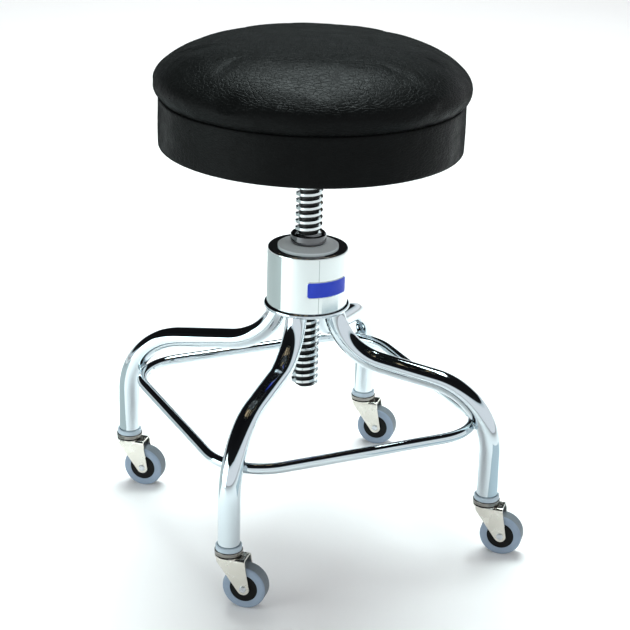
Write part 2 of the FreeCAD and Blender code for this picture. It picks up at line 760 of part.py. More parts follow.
for build in (seat_board, seat_cushion, seat_band, seat_flange, seat_screws, lift_bumper, lift_screw, lift_nut,
              hub_shell, hub_spider, hub_washer):
    build()
ring = foot_ring()
hub_base_ring([leg(side, angle, ring) for side, angle in LEGS.items()])
for side, angle in LEGS.items():
    caster(side, angle)
doc.recompute()

# Check every object, then write one file for each sub-part
for thing in doc.Objects:
    if "Invalid" in thing.State or "Error" in thing.State:
        raise RuntimeError("%s failed" % thing.Name)
os.makedirs("parts", exist_ok=True)
for piece in finished:
    if piece.Shape.isNull() or not piece.Shape.isValid() or piece.Shape.Volume <= 0:
        raise RuntimeError("%s has no sound shape" % piece.Label)
    piece.Shape.exportStep("parts/%s.step" % piece.Label)
    print("%-22s %d solids, %.0f cubic mm" % (piece.Label, len(piece.Shape.Solids), piece.Shape.Volume))
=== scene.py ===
"""Workshop stool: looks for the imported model, in metres, +Z up, the seat's axis upright."""

import json
import math

import bpy
import bmesh
from mathutils import Matrix, Vector, noise


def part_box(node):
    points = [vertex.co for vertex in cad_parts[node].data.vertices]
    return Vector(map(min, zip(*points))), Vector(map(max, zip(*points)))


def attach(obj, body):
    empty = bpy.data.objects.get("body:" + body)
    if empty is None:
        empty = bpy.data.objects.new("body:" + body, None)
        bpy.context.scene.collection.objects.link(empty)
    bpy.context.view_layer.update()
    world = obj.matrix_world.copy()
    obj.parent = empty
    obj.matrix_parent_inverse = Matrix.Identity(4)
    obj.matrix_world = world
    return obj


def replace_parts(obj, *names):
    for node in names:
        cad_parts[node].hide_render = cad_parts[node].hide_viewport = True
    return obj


MM = 0.001
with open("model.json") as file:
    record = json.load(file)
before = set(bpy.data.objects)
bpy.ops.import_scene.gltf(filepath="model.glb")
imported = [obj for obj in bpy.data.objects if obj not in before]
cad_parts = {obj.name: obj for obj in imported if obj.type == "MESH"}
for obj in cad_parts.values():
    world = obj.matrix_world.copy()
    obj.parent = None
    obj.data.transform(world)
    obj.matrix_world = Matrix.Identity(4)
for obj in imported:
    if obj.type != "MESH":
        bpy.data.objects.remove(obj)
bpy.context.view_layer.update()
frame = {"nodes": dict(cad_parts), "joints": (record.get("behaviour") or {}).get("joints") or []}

JOINTS = {joint["name"]: joint for joint in frame["joints"]}
SIDES = {"front": -90.0, "right": 0.0, "back": 90.0, "left": 180.0}

# Places read from the frame
CROWN_LOW, CROWN_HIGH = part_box("seat_cushion")
BAND_LOW, BAND_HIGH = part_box("seat_band")
HUB_LOW, HUB_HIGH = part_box("hub_shell")
AXIS = Vector(((BAND_LOW.x + BAND_HIGH.x) / 2, (BAND_LOW.y + BAND_HIGH.y) / 2, 0))
CROWN_RADIUS = (CROWN_HIGH.x - CROWN_LOW.x) / 2
BAND_RADIUS = (BAND_HIGH.x - BAND_LOW.x) / 2
SEAM = BAND_HIGH.z
BAND_BOTTOM = BAND_LOW.z
HUB_RADIUS = (HUB_HIGH.x - HUB_LOW.x) / 2
RING_LOW, RING_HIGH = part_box("foot_ring")
ROD_RADIUS = (RING_HIGH.z - RING_LOW.z) / 2
LEG_LOW, LEG_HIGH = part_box("leg_right")
LEG_RADIUS = (LEG_HIGH.y - LEG_LOW.y) / 2
TYRE_LOW, TYRE_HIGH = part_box("wheel_tyre_front")
WHEEL_RADIUS = (TYRE_HIGH.z - TYRE_LOW.z) / 2

# Sizes of the crown's section, the same as in the CAD
CROWN_BELLY = 13.6 * MM
CROWN_SHOULDER = 23.4 * MM
SHOULDER_SLOPE = math.radians(42.4)
SLOPE_RADIUS = 115.5 * MM
TOP_SLOPE = math.radians(7.6)
SEAM_TUCK = 1.6 * MM

# The cover: how far inside the crown it starts, how cloth swells it, and the radius where its creases lie
COVER_STEPS = 112
COVER_SLACK = 1.6 * MM
COVER_SAG = 0.9 * MM
COVER_FADE = 6.0 * MM
CLOTH_PRESSURE = 4.0
CLOTH_FRAMES = 20
SWELL_LIMIT = 3.0 * MM
CREASED = 150.0 * MM
PUCKER_REACH = 20.0 * MM
SHOULDER_REACH = 28.0 * MM

# The band, its edge folded under the board, and the staples that hold the fold
BAND_STEPS = 312
BAND_ROWS = 15
BAND_EDGE = 2.6 * MM
BAND_FOLD = 19.0 * MM
FOLD_ROWS = 8
FOLD_PLEATS = 26
FOLD_DEPTH = 0.7 * MM
STAPLES = 36
STAPLE_INSET = 14.0 * MM
STAPLE_SPAN = 10.0 * MM
STAPLE_WIRE = 0.6 * MM

# The root of the screw's groove, below which the thread is painted dark as shade, and half the width of a
# tyre's tread, which is painted darker as shade
GROOVE_ROOT = 12.0 * MM
TREAD_HALF = 7.3 * MM
TREAD_EDGE = 1.4 * MM

# The blank plate on the drum and the drum's joint, as angles from +X
PLATE_ANGLE = math.radians(-37.0)
PLATE_SIZE = (57.0 * MM, 20.5 * MM)
PLATE_HEIGHT = 316.0 * MM
PLATE_CORNER = 3.6 * MM
PLATE_THICK = 0.45 * MM
PLATE_BACK = -0.1 * MM
PLATE_BORDER = 1.3 * MM
FACE_SIZE = tuple(side - PLATE_BORDER for side in PLATE_SIZE)
FACE_CORNER = 3.0 * MM
FACE_THICK = 0.6 * MM
JOINT_ANGLE = math.radians(-53.5)

# Where the foot ring's welds lie: half sizes of the contact, the lean of the leg's bend there, and how deep
# the ring sits in the leg; then each bead's radius, ripples and points round it
WELD_HALF = (5.3 * MM, 4.3 * MM)
WELD_LEAN = math.radians(27.4)
RING_BITE = 0.8 * MM
RING_BEAD, RING_RIPPLES, RING_POINTS = 1.45 * MM, 22, 120
LEG_BEAD, LEG_RIPPLES, LEG_POINTS = 1.1 * MM, 40, 160

# The tyre's parting line: (out, across) points in millimetres from the middle of the tread
PARTING_LINE = [(-0.15, -0.45), (0.02, -0.3), (0.05, 0.0), (0.02, 0.3), (-0.15, 0.45)]

# The dark ceiling starts at this height above the horizon, in degrees, and leans open to one side
CEILING_HEIGHT = 18.0
CEILING_LEAN = 17.0
CEILING_OPENS = 64.5
HORIZON_COLOUR = (0.95, 0.97, 1.0)

FLOOR_RADIUS = 14.0
CARD_HEIGHT = 0.5 * MM
LIGHT_AIM = Vector((0, 0, 0.35))
COOL_LIGHT = (0.88, 1.0, 1.0)

# The camera stands where the photographer stood
CAMERA_AZIMUTH = math.radians(19.5)
CAMERA_ELEVATION = math.radians(21.156)
CAMERA_ROLL = math.radians(1.695)
CAMERA_DISTANCE = 2.16605
CAMERA_LENS = 102.526
CAMERA_SENSOR = 36.0
CAMERA_AIM = AXIS + Vector((0.00988, 0.0035, 0.2672))


# Materials: each is a principled shader with procedural detail in object space
def shader_of(material):
    return material.node_tree.nodes["Principled BSDF"]


def add(material, kind, inputs=None, **settings):
    """One shader node; an input is a plain value or another node's output."""
    node = material.node_tree.nodes.new("ShaderNode" + kind)
    for name, setting in settings.items():
        setattr(node, name, setting)
    for name, value in (inputs or {}).items():
        if isinstance(value, bpy.types.NodeSocket):
            material.node_tree.links.new(value, node.inputs[name])
        else:
            node.inputs[name].default_value = value
    return node


def new_material(name, **sockets):
    """A principled material with plain values on its sockets; underscores stand for spaces."""
    material = bpy.data.materials.new(name)
    material.use_nodes = True
    for socket, value in sockets.items():
        shader_of(material).inputs[socket.replace("_", " ")].default_value = value
    return material


def place(material):
    return add(material, "TexCoord").outputs["Object"]


def link(material, output, socket):
    material.node_tree.links.new(output, shader_of(material).inputs[socket])


def grain(material, scale, detail=3.0, roughness=0.55, where=None, distortion=0.0):
    """Soft noise at a scale in lumps a metre."""
    inputs = {"Vector": where or place(material), "Scale": scale, "Detail": detail,
              "Roughness": roughness, "Distortion": distortion}
    return add(material, "TexNoise", inputs).outputs["Fac"]


def spread(material, value, low, high, start=0.0, end=1.0):
    """A value between start and end brought to lie between low and high."""
    inputs = {"Value": value, "From Min": start, "From Max": end, "To Min": low, "To Max": high}
    return add(material, "MapRange", inputs).outputs["Result"]


def mixed(material, factor, first, second):
    """A colour between two outputs or plain colours with alpha, by a factor."""
    inputs = {"Factor": factor, "A": first, "B": second}
    return add(material, "Mix", inputs, data_type="RGBA").outputs["Result"]


def tinted(material, factor, dark, light):
    """A colour between two plain ones, by a factor."""
    return mixed(material, factor, (*dark, 1), (*light, 1))


def reckon(material, kind, operation, *values):
    """The node of a Math or VectorMath operation on values or outputs."""
    return add(material, kind, dict(enumerate(values)), operation=operation)


def cracks(material, where, scale):
    """Distance to the nearest edge between cells at a scale in cells a metre."""
    inputs = {"Vector": where, "Scale": scale, "Randomness": 1.0}
    return add(material, "TexVoronoi", inputs, feature="DISTANCE_TO_EDGE").outputs["Distance"]


def stretched(material, scale):
    """Object space with each axis scaled, so that grain runs along the axis with the smallest."""
    return add(material, "Mapping", {"Vector": place(material), "Scale": scale}).outputs["Vector"]


def bumped(material, layers):
    """Bumps one over another; each layer is (height, distance in metres, strength)."""
    normal = None
    for height, distance, strength in layers:
        inputs = {"Height": height, "Distance": distance, "Strength": strength}
        if normal is not None:
            inputs["Normal"] = normal
        normal = add(material, "Bump", inputs).outputs["Normal"]
    link(material, normal, "Normal")
    return material


def vinyl(name):
    """Black upholstery vinyl: leather grain, faint creases and a soft, uneven shine."""
    material = new_material(name, Specular_IOR_Level=0.05)
    where = place(material)
    pebbles = spread(material, cracks(material, where, 620.0), 0.0, 1.0, 0.0, 0.35)
    creases = cracks(material, stretched(material, (1.0, 1.0, 2.4)), 165.0)
    folds = spread(material, creases, 0.0, 1.0, 0.0, 0.12)
    lumps = grain(material, 34.0, 4.0, 0.6, where)
    shine = spread(material, grain(material, 55.0, 5.0, 0.6, where), 0.26, 0.42, 0.3, 0.7)
    edge_on = add(material, "LayerWeight", {"Blend": 0.5}).outputs["Facing"]
    dull = spread(material, edge_on, 0.0, 0.5, 0.66, 0.95)
    link(material, reckon(material, "Math", "ADD", shine, dull).outputs["Value"], "Roughness")
    link(material, tinted(material, lumps, (0.0028, 0.003, 0.003), (0.006, 0.0068, 0.0066)), "Base Color")
    return bumped(material, [(lumps, 1.2 * MM, 0.5), (folds, 0.35 * MM, 0.55), (pebbles, 0.16 * MM, 0.5)])


def chrome(name, tint=(0.63, 0.695, 0.73), rough=(0.035, 0.09)):
    """Polished plate over tube: nearly a mirror, with faint waves and handling haze."""
    material = new_material(name, Metallic=1.0, Base_Color=(*tint, 1))
    where = place(material)
    haze = grain(material, 38.0, 5.0, 0.65, where)
    link(material, spread(material, haze, rough[0], rough[1], 0.35, 0.75), "Roughness")
    waves = grain(material, 26.0, 2.0, 0.4, where)
    specks = grain(material, 1400.0, 2.0, 0.5, where)
    return bumped(material, [(waves, 0.6 * MM, 0.18), (specks, 0.01 * MM, 0.12)])


def turned_metal(name, tint, rings=1500.0, rough=(0.08, 0.2)):
    """Plated metal that keeps the fine rings of the lathe along its length."""
    material = new_material(name, Metallic=1.0, Base_Color=(*tint, 1))
    where = place(material)
    inputs = {"Vector": where, "Scale": rings / 6.28, "Distortion": 1.5, "Detail": 2.0}
    lathe = add(material, "TexWave", inputs, wave_type="BANDS", bands_direction="Z").outputs["Fac"]
    haze = grain(material, 120.0, 4.0, 0.6, where)
    link(material, spread(material, haze, rough[0], rough[1], 0.3, 0.7), "Roughness")
    dents = grain(material, 300.0, 2.0, 0.5, where)
    return bumped(material, [(lathe, 0.02 * MM, 0.25), (dents, 0.05 * MM, 0.2)])


def thread_metal(name):
    """Plated screw thread: bright crests and flanks, with painted shade darkening the bottom of the groove.
    """
    material = new_material(name, Metallic=1.0)
    where = place(material)
    off_axis = reckon(material, "VectorMath", "SUBTRACT", where, (AXIS.x, AXIS.y, 0)).outputs["Vector"]
    level = reckon(material, "VectorMath", "MULTIPLY", off_axis, (1, 1, 0)).outputs["Vector"]
    reach = reckon(material, "VectorMath", "LENGTH", level).outputs["Value"]
    ragged = grain(material, 260.0, 3.0, 0.6, where)
    raggedness = spread(material, ragged, -0.5 * MM, 0.5 * MM, 0.3, 0.7)
    depth = reckon(material, "Math", "ADD", reach, raggedness).outputs["Value"]
    unshaded = spread(material, depth, 0.0, 1.0, GROOVE_ROOT + 0.5 * MM, GROOVE_ROOT + 1.5 * MM)
    # Painted shade: the colour goes near black where the thread sinks towards the root of its groove.
    link(material, tinted(material, unshaded, (0.03, 0.03, 0.03), (0.66, 0.69, 0.70)), "Base Color")
    link(material, spread(material, unshaded, 0.38, 0.12), "Roughness")
    return bumped(material, [(ragged, 0.05 * MM, 0.2)])


def nickel(name):
    """Pressed nickel-plated steel: warm, with soft drawing marks and dull patches."""
    material = new_material(name, Metallic=1.0)
    where = place(material)
    marks = grain(material, 900.0, 3.0, 0.6, stretched(material, (1.0, 1.0, 0.08)))
    patches = grain(material, 70.0, 5.0, 0.6, where)
    link(material, tinted(material, patches, (0.60, 0.57, 0.50), (0.80, 0.78, 0.72)), "Base Color")
    link(material, spread(material, patches, 0.14, 0.34, 0.3, 0.7), "Roughness")
    return bumped(material, [(patches, 0.25 * MM, 0.3), (marks, 0.02 * MM, 0.25)])


def moulded(name, dark, light, rough, gloss=0.3, speckle=900.0):
    """Moulded plastic or rubber: fine speckle, cloudy tone and a satin skin."""
    material = new_material(name, Specular_IOR_Level=gloss)
    where = place(material)
    clouds = grain(material, 60.0, 4.0, 0.6, where)
    skin = grain(material, speckle, 2.0, 0.5, where)
    link(material, tinted(material, clouds, dark, light), "Base Color")
    link(material, spread(material, skin, rough - 0.08, rough + 0.1, 0.3, 0.7), "Roughness")
    return bumped(material, [(clouds, 0.15 * MM, 0.2), (skin, 0.03 * MM, 0.3)])


def tyre(name, joint):
    """Grey rubber: lighter sides, and a tread coloured darker all round as painted shade."""
    material = new_material(name, Specular_IOR_Level=0.3)
    where = place(material)
    from_hub = reckon(material, "VectorMath", "SUBTRACT", where, joint["pos_m"]).outputs["Vector"]
    across = reckon(material, "VectorMath", "DOT_PRODUCT", from_hub, joint["axis"]).outputs["Value"]
    aside = reckon(material, "Math", "ABSOLUTE", across).outputs["Value"]
    # Painted shade: the sides keep the lighter colour, and the tread across the middle takes a darker one as
    # if it faced away from the lights.
    side = spread(material, aside, 0.0, 1.0, TREAD_HALF, TREAD_HALF + TREAD_EDGE)
    clouds = grain(material, 70.0, 4.0, 0.6, where)
    unshaded = tinted(material, clouds, (0.21, 0.27, 0.35), (0.27, 0.33, 0.41))
    shaded_tread = tinted(material, clouds, (0.10, 0.125, 0.145), (0.17, 0.195, 0.215))
    link(material, mixed(material, side, shaded_tread, unshaded), "Base Color")
    skin = grain(material, 500.0, 2.0, 0.5, where)
    link(material, spread(material, skin, 0.44, 0.62, 0.3, 0.7), "Roughness")
    return bumped(material, [(clouds, 0.15 * MM, 0.2), (skin, 0.03 * MM, 0.3)])


def plywood(name):
    """Plain plywood: long growth lines across the board and open pores."""
    material = new_material(name, Specular_IOR_Level=0.3)
    along = stretched(material, (0.06, 1.0, 1.0))
    lines = spread(material, grain(material, 110.0, 6.0, 0.65, along, 0.6), 0.0, 1.0, 0.35, 0.65)
    pores = grain(material, 900.0, 3.0, 0.6, along)
    link(material, tinted(material, lines, (0.34, 0.21, 0.11), (0.62, 0.45, 0.27)), "Base Color")
    link(material, spread(material, pores, 0.5, 0.8), "Roughness")
    return bumped(material, [(pores, 0.15 * MM, 0.4)])


def enamel(name, dark, light):
    """Glossy enamel with a slight orange-peel surface."""
    material = new_material(name, Specular_IOR_Level=0.5, Coat_Weight=0.6, Coat_Roughness=0.08)
    where = place(material)
    link(material, tinted(material, grain(material, 90.0, 3.0, 0.5, where), dark, light), "Base Color")
    link(material, spread(material, grain(material, 400.0, 2.0, 0.5, where), 0.22, 0.34), "Roughness")
    return bumped(material, [(grain(material, 700.0, 2.0, 0.5, where), 0.04 * MM, 0.25)])


# Mesh helpers
def smooth(thing, angle=32.0):
    """Smooth shading with the real edges kept sharp."""
    for polygon in thing.data.polygons:
        polygon.use_smooth = True
    thing.data.set_sharp_from_angle(angle=math.radians(angle))
    return thing


def dress(thing, material):
    thing.data.materials.clear()
    thing.data.materials.append(material)
    return thing


def piece(name, mesh, material, body, angle=32.0):
    """A finished piece of the scene, riding on a body of the frame."""
    thing = bpy.data.objects.new(name, mesh)
    bpy.context.scene.collection.objects.link(thing)
    dress(thing, material)
    smooth(thing, angle)
    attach(thing, body)
    return thing


def mesh_from(name, build):
    """A mesh that a function fills through bmesh."""
    work = bmesh.new()
    build(work)
    bmesh.ops.recalc_face_normals(work, faces=work.faces)
    mesh = bpy.data.meshes.new(name)
    work.to_mesh(mesh)
    work.free()
    return mesh


def arc(centre, radius, start, end, steps):
    """Points of an arc in the (radius, height) plane, without its first one."""
    points = []
    for i in range(1, steps + 1):
        angle = start + (end - start) * i / steps
        points.append((centre[0] + radius * math.cos(angle), centre[1] + radius * math.sin(angle)))
    return points


def turned(section, steps, shift=None, closed=False, stand=Matrix.Translation(AXIS)):
    """A surface turned about an upright axis from (radius, height) points; shift moves each point."""
    def build(work):
        rings = []
        for row, (radius, height) in enumerate(section):
            ring = []
            for i in range(steps):
                angle = 2 * math.pi * i / steps
                r, z = shift(row, radius, height, angle) if shift else (radius, height)
                ring.append(work.verts.new(stand @ Vector((r * math.cos(angle), r * math.sin(angle), z))))
            rings.append(ring)
        bridge(work, rings, closed)
        if not closed:
            for ring in (rings[0], rings[-1]):
                work.faces.new(ring)
    return build


def bridge(work, rings, closed):
    """Faces between neighbouring rings of vertices."""
    pairs = list(zip(rings, rings[1:])) + ([(rings[-1], rings[0])] if closed else [])
    for low, high in pairs:
        for i, (a, b) in enumerate(zip(low, high)):
            work.faces.new((a, low[(i + 1) % len(low)], high[(i + 1) % len(high)], b))


def slab(work, front, back):
    """A closed thin piece between two grids of points."""
    rims = []
    for grid in (front, back):
        rows = [[work.verts.new(point) for point in row] for row in grid]
        for low, high in zip(rows, rows[1:]):
            for a, b, c, d in zip(low, low[1:], high[1:], high):
                work.faces.new((a, b, c, d))
        rims.append(rows[0] + [row[-1] for row in rows[1:-1]] + rows[-1][::-1]
                    + [row[0] for row in rows[-2:0:-1]])
    bridge(work, rims, False)


def bead(work, path, outward, radius, ripples, seed):
    """A closed weld bead along a path, with the ripples that the torch leaves."""
    rings = []
    count, sides = len(path), 10
    for i, (spot, out) in enumerate(zip(path, outward)):
        along = (path[(i + 1) % count] - path[i - 1]).normalized()
        across = along.cross(out).normalized()
        turn = 2 * math.pi * i / count
        drift = noise.noise(Vector((6 * math.cos(turn), 6 * math.sin(turn), seed)))
        swell = radius * (1 + 0.13 * math.cos(2 * math.pi * ripples * i / count) + 0.22 * drift)
        rings.append([work.verts.new(spot + swell * (math.cos(t) * across + math.sin(t) * out))
                      for t in (2 * math.pi * k / sides for k in range(sides))])
    bridge(work, rings, True)


# Seat: padded crown with its band
def crown_section():
    """The crown from its seam to the middle of its top, as (radius, height) points."""
    belly_z = SEAM + CROWN_BELLY
    foot = (BAND_RADIUS - SEAM_TUCK, SEAM + 0.3 * MM)
    drawn_in = CROWN_RADIUS - foot[0]
    lift = belly_z - foot[1]
    belly = (drawn_in ** 2 + lift ** 2) / (2 * drawn_in)
    points = [foot]
    points += arc((CROWN_RADIUS - belly, belly_z), belly, -math.asin(lift / belly), 0.0, 5)
    points += arc((CROWN_RADIUS - CROWN_SHOULDER, belly_z), CROWN_SHOULDER, 0.0,
                  math.pi / 2 - SHOULDER_SLOPE, 5)
    r, z = points[-1]
    centre = (r - SLOPE_RADIUS * math.sin(SHOULDER_SLOPE), z - SLOPE_RADIUS * math.cos(SHOULDER_SLOPE))
    points += arc(centre, SLOPE_RADIUS, math.pi / 2 - SHOULDER_SLOPE, math.pi / 2 - TOP_SLOPE, 7)
    r, z = points[-1]
    top = r / math.sin(TOP_SLOPE)
    points += arc((0.0, z - top * math.cos(TOP_SLOPE)), top, math.pi / 2 - TOP_SLOPE,
                  math.pi / 2 - TOP_SLOPE * 0.04, 11)
    return points


def settle(thing, held, pressure, limit):
    """Swells a cover over its filling as cloth, and lets no point move further than the limit."""
    start = [vertex.co.copy() for vertex in thing.data.vertices]
    group = thing.vertex_groups.new(name="held")
    group.add(held, 1.0, "REPLACE")
    cloth = thing.modifiers.new("swell", "CLOTH")
    cloth.settings.vertex_group_mass = group.name
    cloth.settings.use_pressure = True
    cloth.settings.uniform_pressure_force = pressure
    cloth.settings.effector_weights.gravity = 0.0
    cloth.settings.quality = 4
    for number in range(1, CLOTH_FRAMES + 1):
        bpy.context.scene.frame_set(number)
    swollen = thing.evaluated_get(bpy.context.evaluated_depsgraph_get()).data
    moved = [vertex.co - begun for vertex, begun in zip(swollen.vertices, start)]
    thing.modifiers.remove(cloth)
    thing.vertex_groups.remove(group)
    for vertex, begun, move in zip(thing.data.vertices, start, moved):
        vertex.co = begun + move * min(1.0, limit / max(move.length, 1e-9))
    bpy.context.scene.frame_set(1)


def refine(thing, levels):
    """Subdivision, applied."""
    modifier = thing.modifiers.new("fine", "SUBSURF")
    modifier.levels = modifier.render_levels = levels
    fine = bpy.data.meshes.new_from_object(thing.evaluated_get(bpy.context.evaluated_depsgraph_get()))
    thing.modifiers.remove(modifier)
    old, thing.data = thing.data, fine
    bpy.data.meshes.remove(old)


def crease(thing):
    """Puckers that fan up from the seam, and the shallow creases of vinyl stretched over the shoulder."""
    normals = [vertex.normal.copy() for vertex in thing.data.vertices]
    for vertex, normal in zip(thing.data.vertices, normals):
        flat = vertex.co - AXIS
        radius, angle, rise = math.hypot(flat.x, flat.y), math.atan2(flat.y, flat.x), flat.z - SEAM
        spot = Vector((math.cos(angle), math.sin(angle), 0))
        near_seam = max(0.0, 1 - abs(rise) / PUCKER_REACH) if radius > CREASED else 0.0
        pucker = noise.noise(spot * 17.0) * 0.8 + noise.noise(spot * 34.0 + Vector((7, 3, 1))) * 0.5
        near, far = noise.voronoi(flat * 95.0)[0][:2]
        line = max(0.0, 1 - (far - near) / 0.22)
        fold = max(0.0, noise.noise(Vector((angle * 23.0, radius * 34.0, 0.7)))) ** 2
        shoulder = math.exp(-((radius - CREASED) / SHOULDER_REACH) ** 2)
        push = 0.45 * pucker * near_seam ** 1.5 - 0.13 * line - 0.5 * fold * shoulder
        vertex.co += normal * (push * MM)


def cushion():
    """The crown: vinyl drawn tight over foam."""
    section = crown_section()

    def shift(row, radius, height, angle):
        rise = height - SEAM
        sag = noise.noise(Vector((radius * math.cos(angle), radius * math.sin(angle), height)) * 17.0)
        fade = min(1.0, max(0.0, rise / COVER_FADE))
        slack = COVER_SLACK * fade
        return (radius - slack * min(1.0, radius / CROWN_RADIUS) ** 4,
                height - slack + COVER_SAG * sag * fade * min(1.0, radius / (40 * MM)))

    lower = [(section[0][0] - 6 * MM, SEAM - 5 * MM)]
    mesh = mesh_from("cushion_cover", turned(lower + section, COVER_STEPS, shift))
    made = piece("cushion_cover", mesh, VINYL, "seat", 60.0)
    settle(made, list(range(2 * COVER_STEPS)), CLOTH_PRESSURE, SWELL_LIMIT)
    refine(made, 2)
    crease(made)
    smooth(made, 60.0)
    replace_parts(made, "seat_cushion")


def band():
    """The sewn side strip, folded under the board in small pleats."""
    wall = [(BAND_RADIUS - 5 * MM, SEAM + 0.2 * MM), (BAND_RADIUS - 1.6 * MM, SEAM),
            (BAND_RADIUS - 0.5 * MM, SEAM - 0.6 * MM)]
    wall += [(BAND_RADIUS, SEAM - 2 * MM - i * 3.6 * MM) for i in range(BAND_ROWS)]
    wall += arc((BAND_RADIUS - BAND_EDGE, BAND_BOTTOM + BAND_EDGE), BAND_EDGE, 0.0, -math.pi / 2, 5)
    flat = BAND_RADIUS - BAND_EDGE
    wall += [(flat - BAND_FOLD * k / FOLD_ROWS, BAND_BOTTOM) for k in range(1, FOLD_ROWS + 1)]
    wall += [(flat - BAND_FOLD, BAND_BOTTOM + 0.3 * MM)]
    seam_row, fold_row = 3, len(wall) - FOLD_ROWS - 1

    def shift(row, radius, height, angle):
        spot = Vector((math.cos(angle), math.sin(angle), height * 4))
        if row < seam_row:
            return radius, height
        if row < fold_row:
            drop = (SEAM - height) / (SEAM - BAND_BOTTOM)
            wave = noise.noise(spot * 6.0) * 0.5 + noise.noise(spot * 24.0) * 0.22
            return radius + MM * wave * math.sin(math.pi * min(1.0, drop * 1.05)), height
        inward = (row - fold_row) / (FOLD_ROWS + 1)
        pleat = abs(math.sin(angle * FOLD_PLEATS + 2 * noise.noise(spot * 9.0))) ** 3
        ragged = 1.6 * MM * noise.noise(spot * 15.0) * inward
        return radius + ragged, height - (0.25 + 0.75 * pleat) * FOLD_DEPTH * min(1.0, inward * 2)

    mesh = mesh_from("band_cover", turned(wall, BAND_STEPS, shift))
    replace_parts(piece("band_cover", mesh, VINYL, "seat", 50.0), "seat_band")


def staples():
    """Wire staples that hold the fold to the board."""
    radius = BAND_RADIUS - STAPLE_INSET

    def build(work):
        for i in range(STAPLES):
            angle = 2 * math.pi * (i + 0.5) / STAPLES
            lean = 0.2 * noise.noise(Vector((i * 1.7, 0.3, 0.9)))
            turn = Matrix.Rotation(angle + math.pi / 2 + lean, 4, "Z")
            spot = AXIS + Vector((radius * math.cos(angle), radius * math.sin(angle), BAND_BOTTOM - 0.9 * MM))
            size = Matrix.Diagonal((STAPLE_SPAN, STAPLE_WIRE * 1.6, STAPLE_WIRE, 1))
            made = bmesh.ops.create_cube(work, size=1.0, matrix=Matrix.Translation(spot) @ turn @ size)
            edges = list({e for v in made["verts"] for e in v.link_edges})
            bmesh.ops.bevel(work, geom=edges, offset=STAPLE_WIRE * 0.25, segments=2, affect="EDGES")
    piece("fold_staples", mesh_from("fold_staples", build), STEEL_WIRE, "seat")


# Hub: its joint line and the blank plate
def on_drum(along, height, out):
    """A point that stands proud of the drum, by the way along its wall from the plate's middle."""
    angle = PLATE_ANGLE + along / HUB_RADIUS
    reach = HUB_RADIUS + out
    return AXIS + Vector((reach * math.cos(angle), reach * math.sin(angle), height))


def drum_plate(name, size, corner, thick, material):
    """A plate bent round the drum, with rounded corners and a rolled edge."""
    columns, rows = 48, 12

    def build(work):
        front, rear = [], []
        for i in range(columns + 1):
            u = size[0] / 2 * math.sin(math.pi * (i / columns - 0.5))
            past = max(0.0, abs(u) - (size[0] / 2 - corner))
            half = size[1] / 2 - corner + math.sqrt(max(0.0, corner ** 2 - past ** 2))
            front.append([])
            rear.append([])
            for j in range(rows + 1):
                v = half * math.sin(math.pi * (j / rows - 0.5))
                inset = min(half - abs(v), size[0] / 2 - abs(u))
                rolled = 1 - min(1.0, inset / (1.2 * thick))
                front[-1].append(on_drum(u, PLATE_HEIGHT + v, thick * math.sqrt(1 - rolled ** 2)))
                rear[-1].append(on_drum(u, PLATE_HEIGHT + v, PLATE_BACK))
        slab(work, front, rear)
    return piece(name, mesh_from(name, build), material, "base", 50.0)


def drum_joint():
    """The drum's upright joint, dressed flush but for a fine raised line."""
    along = (JOINT_ANGLE - PLATE_ANGLE) * HUB_RADIUS
    low, high = HUB_LOW.z + 0.4 * MM, HUB_HIGH.z - 3.0 * MM
    profile = [(-0.45, -0.1), (-0.3, 0.1), (0.0, 0.17), (0.3, 0.1), (0.45, -0.1)]

    def build(work):
        front, rear = [], []
        for k in range(41):
            height = low + (high - low) * k / 40
            wander = 0.12 * MM * noise.noise(Vector((0, 0, k * 0.21)))
            front.append([on_drum(along + wander + x * MM, height, out * MM) for x, out in profile])
            rear.append([on_drum(along + wander + x * MM, height, -0.2 * MM) for x, _ in profile])
        slab(work, front, rear)
    piece("hub_joint", mesh_from("hub_joint", build), JOINT_METAL, "base", 60.0)


# Welds
def ring_welds():
    """The beads where the foot ring's corners are welded to the legs' inner sides."""
    reach = RING_HIGH.x - AXIS.x - ROD_RADIUS
    level = (RING_LOW.z + RING_HIGH.z) / 2
    for number, (side, degrees) in enumerate(SIDES.items()):
        angle = math.radians(degrees)
        radial = Vector((math.cos(angle), math.sin(angle), 0))
        aside = Vector((-math.sin(angle), math.cos(angle), 0))
        out = radial * math.cos(WELD_LEAN) + Vector((0, 0, math.sin(WELD_LEAN)))
        upward = Vector((0, 0, math.cos(WELD_LEAN))) - radial * math.sin(WELD_LEAN)
        middle = AXIS + radial * reach + Vector((0, 0, level)) + out * (ROD_RADIUS - RING_BITE / 2)
        path, outward = [], []
        for i in range(RING_POINTS):
            t = 2 * math.pi * i / RING_POINTS
            x, w = WELD_HALF[0] * math.cos(t), WELD_HALF[1] * math.sin(t)
            depth = (x ** 2 / (2 * LEG_RADIUS) - w ** 2 / (2 * ROD_RADIUS)) / 2
            path.append(middle + aside * x + upward * w + out * depth)
            outward.append((aside * x / WELD_HALF[0] + upward * w / WELD_HALF[1]).normalized())

        def build(work):
            bead(work, path, outward, RING_BEAD, RING_RIPPLES, number * 3.1)
        name = "ring_weld_" + side
        piece(name, mesh_from(name, build), WELD_METAL, "base", 60.0)


